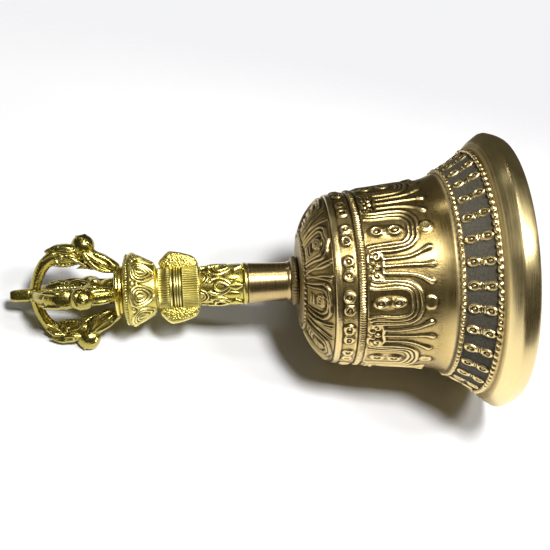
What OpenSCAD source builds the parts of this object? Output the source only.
// Tibetan prayer bell with a half-vajra handle, standing on its rim.
// Origin at the centre of the mouth plane, +Z along the axis towards the handle's tip.

/* [Bell] */
// Diameter over the ridge of the flared lip
rim_d = 100; // [98:0.5:103]
// Outer diameter of the mouth's edge
mouth_d = 92.8; // [92:0.2:94]
// Height of the bell from its mouth to the handle's seat
bell_h = 75.2; // [75:0.1:76]
// Wall thickness at the waist
wall_t = 3; // [2.6:0.1:3.4]
// Radius of the cast bead rings
bead_r = 0.9; // [0.6:0.1:1.1]

/* [Handle] */
// Outer diameter of the stem at its lower end
stem_d = 13.8; // [13.2:0.1:14.4]
// Length of the plain stem tube
stem_len = 15.3; // [15:0.1:16]
// Length of the leaf collar casting
neck_len = 17; // [16.6:0.1:17.4]
// Length of the crowned head casting
head_len = 15.4; // [15:0.1:15.8]
// Length of the lotus cup
lotus_len = 12.2; // [12:0.1:12.6]
// Largest diameter of the lotus cup's beaded rim
lotus_d = 25.8; // [25:0.2:26.4]

/* [Half vajra] */
// Number of side prongs around the middle one
prong_count = 4; // [4:1:4]
// Angle of the first side prong about the axis
prong_turn = -98; // [-180:1:180]
// Width of a side prong across its flat sides
prong_w = 6.2; // [5.4:0.2:6.4]
// Largest radius of the side prongs
prong_r = 20.8; // [20:0.2:21]
// Height of the whole bell
total_h = 178; // [177:0.5:180]

/* [Clapper] */
// Diameter of the clapper's bob
bob_d = 14; // [12:0.5:14]
// Height of the bob's centre above the mouth
bob_z = 14; // [13:0.5:16]
// Wire diameter of the oval link
link_wire_d = 2; // [1.8:0.1:2]

/* [Hidden] */
$fn = 96;

// Colours
bronze = [0.60, 0.45, 0.22];
brushed = [0.66, 0.52, 0.27];
yellow_brass = [0.80, 0.68, 0.22];
steel = [0.62, 0.63, 0.65];
iron = [0.30, 0.29, 0.28];

// Bell heights
ridge_z = 7.5;         // ridge of the lip
frieze_low_z = 12.7;   // bead ring below the frieze
frieze_high_z = 23.4;  // bead ring above the frieze
waist_z = 31;          // foot of the straight waist
shoulder_z = 56.9;     // bead line below the shoulder band
dome_z = 65;           // edge of the dome
dome_ring_z = 74.3;    // bead ring on the dome
crown_in_z = 71;       // flat ceiling inside the bell

// Bell radii at those heights
rim_r = rim_d / 2;
mouth_r = mouth_d / 2;
frieze_low_r = 43.7;
frieze_high_r = 36.9;
waist_r = 34;
shoulder_r = 31.1;
dome_r = 30;
dome_ring_r = 16.8;
mouth_in_r = mouth_r - 4.4;
ceiling_r = 8.5;

// Joints between the handle's pieces, from the bell upwards
collar_len = 2.8;
collar_r = 8.9;
stem_z = bell_h + collar_len;
neck_z = stem_z + stem_len;
head_z = neck_z + neck_len;
lotus_z = head_z + head_len;
hub_z = lotus_z + lotus_len;
hub_ring_len = 2.7;
prong_z = hub_z + hub_ring_len;
hub_core_r = 4.9;
hub_top_z = prong_z + 5;

stem_r = stem_d / 2;
stem_top_r = stem_r + 0.6;
stem_bore_r = 5.6;
spigot_r = 5.55;
spigot_len = 5;

// Stud through the handle and the fasteners on it
rod_r = 2.5;
rod_hole_r = 2.75;
washer_t = 1;
washer_r = 7.5;
nut_len = 4;
nut_flats = 8;
nut_z = crown_in_z - washer_t - nut_len;
thread_depth = 6;

// Eye, link and clapper: each hangs on the wire of the one above
hang_gap = 0.2;
eye_wire_r = 1.3;
eye_mean_r = 3.8;
eye_boss_r = 4.2;
eye_boss_len = 3.8;
eye_bar_z = 57.5;
link_wire_r = link_wire_d / 2;
link_mean_r = 2.6;
link_len = 9.5;
link_top_z = eye_bar_z + eye_wire_r + hang_gap + link_wire_r;
link_bar_z = link_top_z - link_len;
ring_wire_r = 0.9;
ring_mean_r = 2.2;
ring_z = link_bar_z + link_wire_r + hang_gap + ring_wire_r - ring_mean_r;
shank_r = 1.6;
bob_r = bob_d / 2;
bob_neck_z = bob_z + 15;
bob_foot_z = bob_z - bob_r - 0.4;
rivet_len = 1.2;
rivet_r = 2.4;

// Points along a cubic curve from a to d with handles b and c
function curve(a, b, c, d, n = 8) =
    [for (i = [0:n]) let (t = i / n, s = 1 - t)
        s * s * s * a + 3 * s * s * t * b + 3 * s * t * t * c + t * t * t * d];

// A cubic curve without its first point, to follow on from another curve
function after(points) = [for (i = [1:len(points) - 1]) points[i]];

// A round ring of radius r and wire radius w lying flat at height z
module ring(r, w, z) {
    translate([0, 0, z])
        rotate_extrude()
            translate([r, 0]) circle(r = w, $fn = 32);
}

// A hole along the axis between two heights
module hole(r, low, high) {
    translate([0, 0, low]) cylinder(r = r, h = high - low);
}

// ---- Bell ----

bell_outside = concat(
    curve([mouth_r, 0], [mouth_r + 2.4, 1.2], [rim_r, 4.6], [rim_r, ridge_z]),
    after(curve([rim_r, ridge_z], [rim_r, 9.2], [frieze_low_r + 1.8, 10],
                [frieze_low_r, frieze_low_z])),
    after(curve([frieze_low_r, frieze_low_z], [41.2, 16], [39.2, 19.6],
                [frieze_high_r, frieze_high_z], 4)),
    after(curve([frieze_high_r, frieze_high_z], [35.6, 25.4], [34.6, 28],
                [waist_r, waist_z], 5)),
    after(curve([waist_r, waist_z], [33.3, 38], [32, 50], [shoulder_r, shoulder_z], 5)),
    [[dome_r, dome_z]],
    after(curve([dome_r, dome_z], [27.6, 68.6], [23.4, 72], [dome_ring_r, dome_ring_z], 7)),
    [[collar_r + 1, bell_h]]);

bell_inside = concat(
    curve([ceiling_r, crown_in_z], [18, crown_in_z - 0.4], [25, 68], [shoulder_r - wall_t - 0.4, 60]),
    after(curve([shoulder_r - wall_t - 0.4, 60], [shoulder_r - wall_t + 0.6, 50],
                [waist_r - wall_t - 0.8, 38], [waist_r - wall_t, waist_z], 5)),
    after(curve([waist_r - wall_t, waist_z], [33, 24], [mouth_in_r - 2, 12],
                [mouth_in_r, 0], 8)));

module bell_shell() {
    color(bronze)
        difference() {
            union() {
                rotate_extrude()
                    polygon(concat(bell_outside, [[0, bell_h], [0, crown_in_z]], bell_inside));
                ring(frieze_low_r, bead_r, frieze_low_z);
                ring(frieze_high_r, bead_r, frieze_high_z);
                ring(shoulder_r, bead_r - 0.2, shoulder_z);
                ring(dome_r, bead_r, dome_z);
                ring(dome_ring_r, bead_r, dome_ring_z);
            }
            hole(rod_hole_r, crown_in_z - 1, bell_h + 1);
        }
}

// ---- Handle ----

module crown_collar() {
    color(bronze)
        difference() {
            union() {
                rotate_extrude()
                    polygon(concat(
                        [[0, bell_h], [collar_r - 1, bell_h]],
                        curve([collar_r - 1, bell_h], [collar_r + 0.3, bell_h + 0.2],
                              [collar_r + 0.3, stem_z - 0.6], [stem_r + 0.6, stem_z], 6),
                        [[0, stem_z]]));
                hole(spigot_r, stem_z, stem_z + spigot_len);
            }
            hole(rod_hole_r, bell_h - 1, stem_z + spigot_len + 1);
        }
}

module stem_tube() {
    color(brushed)
        difference() {
            rotate_extrude()
                polygon([[0, stem_z], [stem_r + 0.4, stem_z], [stem_r, stem_z + 1.2],
                         [stem_top_r, neck_z - 1], [stem_top_r - 0.2, neck_z], [0, neck_z]]);
            hole(stem_bore_r, stem_z - 1, neck_z + 1);
        }
}

neck_r = 7.3;

module neck_casting() {
    color(yellow_brass)
        difference() {
            union() {
                hole(spigot_r, neck_z - spigot_len, neck_z);
                hole(neck_r, neck_z, head_z);
                rotate_extrude()
                    polygon([[0, neck_z], [neck_r + 0.2, neck_z], [neck_r + 0.6, neck_z + 1.2],
                             [neck_r + 0.2, neck_z + 2.6], [0, neck_z + 2.6]]);
                ring(neck_r, 0.7, neck_z + 5.4);
                ring(neck_r - 0.2, 0.7, neck_z + 13.2);
            }
            hole(rod_hole_r, neck_z - spigot_len - 1, head_z + 1);
        }
}

head_r = 7.6;
crown_leaf_r = 13.2;
crown_leaf_t = 4.6;
face_r = 6.6;

// Outline of the head's side: ear at the bottom, crown leaf at the top
head_side = concat(
    [[0, head_z + 0.4], [head_r - 0.4, head_z + 0.4]],
    curve([head_r - 0.4, head_z + 0.6], [head_r + 3, head_z + 1.6], [crown_leaf_r - 3.2, head_z + 6],
          [crown_leaf_r - 1.4, head_z + 8]),
    curve([crown_leaf_r - 0.4, head_z + 9], [crown_leaf_r + 0.2, head_z + 11.4],
          [crown_leaf_r - 2, head_z + 12.6], [head_r + 1, head_z + 13.6], 6),
    [[0, head_z + 13.6]]);

module head_casting() {
    color(yellow_brass)
        difference() {
            union() {
                hole(head_r, head_z, lotus_z);
                for (side = [0, 180])
                    rotate([0, 0, side]) rotate([90, 0, 0])
                        linear_extrude(height = crown_leaf_t, center = true) polygon(head_side);
                // Rounded front that the face is modelled on
                translate([0, 3, head_z + 6.6]) sphere(r = face_r);
                for (i = [0:2]) ring(head_r, 0.7, head_z + 8.4 + 1.5 * i);
            }
            hole(rod_hole_r, head_z - 1, lotus_z + 1);
        }
}

module lotus_cup() {
    cup_r = lotus_d / 2;
    color(yellow_brass)
        difference() {
            union() {
                rotate_extrude()
                    polygon(concat(
                        [[0, lotus_z], [7.4, lotus_z]],
                        curve([8.4, lotus_z + 0.8], [8.6, lotus_z + 4], [cup_r - 2.4, lotus_z + 6.6],
                              [cup_r - 0.7, hub_z - 1.7]),
                        [[cup_r - 1.4, hub_z], [0, hub_z]]));
                ring(cup_r - 0.7, 0.7, hub_z - 1.5);
            }
            hole(rod_hole_r, lotus_z - 1, hub_z + 1);
        }
}

// ---- Half vajra ----

module vajra_hub() {
    color(yellow_brass)
        difference() {
            rotate_extrude()
                polygon(concat(
                    [[0, hub_z], [8.8, hub_z]],
                    curve([9.1, hub_z + 0.4], [9.6, hub_z + 1], [9.6, hub_z + 1.8], [9.1, prong_z], 5),
                    [[hub_core_r, prong_z], [hub_core_r, hub_top_z - 2], [4.2, hub_top_z],
                     [0, hub_top_z]]));
            hole(rod_r, hub_z - 1, hub_z + thread_depth);
        }
}

// Side view of a prong's root: foot on the hub and the beast's head
prong_root = concat(
    [[hub_core_r + 0.2, prong_z], [8.9, prong_z]],
    curve([9.4, prong_z + 0.6], [12.6, prong_z + 2], [12.4, prong_z + 5], [13.4, prong_z + 6.4], 5),
    curve([15, prong_z + 6.8], [prong_r + 0.4, prong_z + 6.4], [prong_r + 0.6, prong_z + 12],
          [17.4, prong_z + 14.4]),
    [[9, prong_z + 14.4]],
    curve([8.4, prong_z + 13], [7, prong_z + 9], [7.4, prong_z + 7], [hub_core_r + 0.3, prong_z + 3], 5));

// Side view of a prong's arm, from the beast's mouth round to the tip
prong_tip_z = total_h - 7.6;
prong_arm = concat(
    curve([17.4, prong_z + 14.2], [18.4, prong_z + 19], [18, prong_z + 24], [12, prong_z + 27]),
    [[2.6, prong_tip_z], [2.6, prong_tip_z - 2]],
    curve([5, prong_z + 26.4], [9.6, prong_z + 24], [10.4, prong_z + 18], [9, prong_z + 14.2]));
arm_w = 3.6;

module side_prong(i) {
    color(yellow_brass)
        rotate([0, 0, prong_turn + i * 360 / prong_count])
            rotate([90, 0, 0]) {
                linear_extrude(height = prong_w, center = true) polygon(prong_root);
                linear_extrude(height = arm_w, center = true) polygon(prong_arm);
            }
}

module center_prong() {
    tip_r = 2.4;
    color(yellow_brass)
        union() {
            rotate_extrude()
                polygon(concat(
                    [[0, hub_top_z], [4.2, hub_top_z]],
                    curve([4, hub_top_z + 1], [1.4, hub_top_z + 4], [2, hub_top_z + 6],
                          [4.2, hub_top_z + 10]),
                    after(curve([4.2, hub_top_z + 10], [5, hub_top_z + 14], [2.2, hub_top_z + 18],
                                [tip_r - 0.2, total_h - 9])),
                    [[tip_r, total_h - 6], [tip_r, total_h - 2], [1.2, total_h], [0, total_h]]));
        }
}

// ---- Stud and fasteners ----

module tie_rod() {
    color(steel)
        hole(rod_r, nut_z - eye_boss_len + 0.8, hub_z + thread_depth - 0.4);
}

module crown_washer() {
    color(steel)
        difference() {
            hole(washer_r, crown_in_z - washer_t, crown_in_z);
            hole(rod_hole_r, crown_in_z - washer_t - 1, crown_in_z + 1);
        }
}

module crown_nut() {
    color(steel)
        difference() {
            translate([0, 0, nut_z])
                cylinder(d = nut_flats / cos(30), h = nut_len, $fn = 6);
            hole(rod_r, nut_z - 1, nut_z + nut_len + 1);
        }
}

module clapper_eye() {
    color(steel)
        difference() {
            union() {
                hole(eye_boss_r, nut_z - eye_boss_len, nut_z);
                translate([0, 0, eye_bar_z + eye_mean_r])
                    rotate([0, 90, 0]) ring(eye_mean_r, eye_wire_r, 0);
            }
            hole(rod_r, nut_z - eye_boss_len + 0.6, nut_z + 6);
            hole(eye_boss_r + 2, nut_z, nut_z + 6);
        }
}

// ---- Clapper ----

module clapper_link() {
    low = link_bar_z + link_mean_r;
    high = link_top_z - link_mean_r;
    color(iron)
        union() {
            for (end = [[high, 0], [low, 180]])
                translate([0, 0, end[0]]) rotate([90, 0, 0])
                    rotate([0, 0, end[1]])
                        rotate_extrude(angle = 180)
                            translate([link_mean_r, 0]) circle(r = link_wire_r, $fn = 32);
            for (x = [-link_mean_r, link_mean_r])
                translate([x, 0, low]) cylinder(r = link_wire_r, h = high - low, $fn = 32);
        }
}

module clapper_rod() {
    color(iron)
        union() {
            translate([0, 0, ring_z]) rotate([0, 90, 0]) ring(ring_mean_r, ring_wire_r, 0);
            translate([0, 0, ring_z - ring_mean_r - 0.8]) sphere(r = 1.9, $fn = 48);
            hole(shank_r, bob_foot_z, ring_z - ring_mean_r - 0.8);
            hole(rivet_r, bob_foot_z - rivet_len, bob_foot_z);
        }
}

module clapper_bob() {
    color(iron)
        difference() {
            rotate_extrude()
                polygon(concat(
                    [[0, bob_foot_z]],
                    [for (i = [0:10]) let (a = -70 + i * 11)
                        [bob_r * cos(a), max(bob_z + bob_r * sin(a), bob_foot_z)]],
                    curve([bob_r * 0.7, bob_z + bob_r * 0.8], [3.6, bob_z + 8.4], [3.2, bob_z + 11],
                          [2.9, bob_neck_z], 6),
                    [[0, bob_neck_z]]));
            hole(shank_r, bob_foot_z - 1, bob_neck_z + 1);
        }
}

bell_shell();
crown_collar();
stem_tube();
neck_casting();
head_casting();
lotus_cup();
vajra_hub();
side_prong(0);  // side_prong_1
side_prong(1);  // side_prong_2
side_prong(2);  // side_prong_3
side_prong(3);  // side_prong_4
center_prong();
tie_rod();
crown_washer();
crown_nut();
clapper_eye();
clapper_link();
clapper_rod();
clapper_bob();
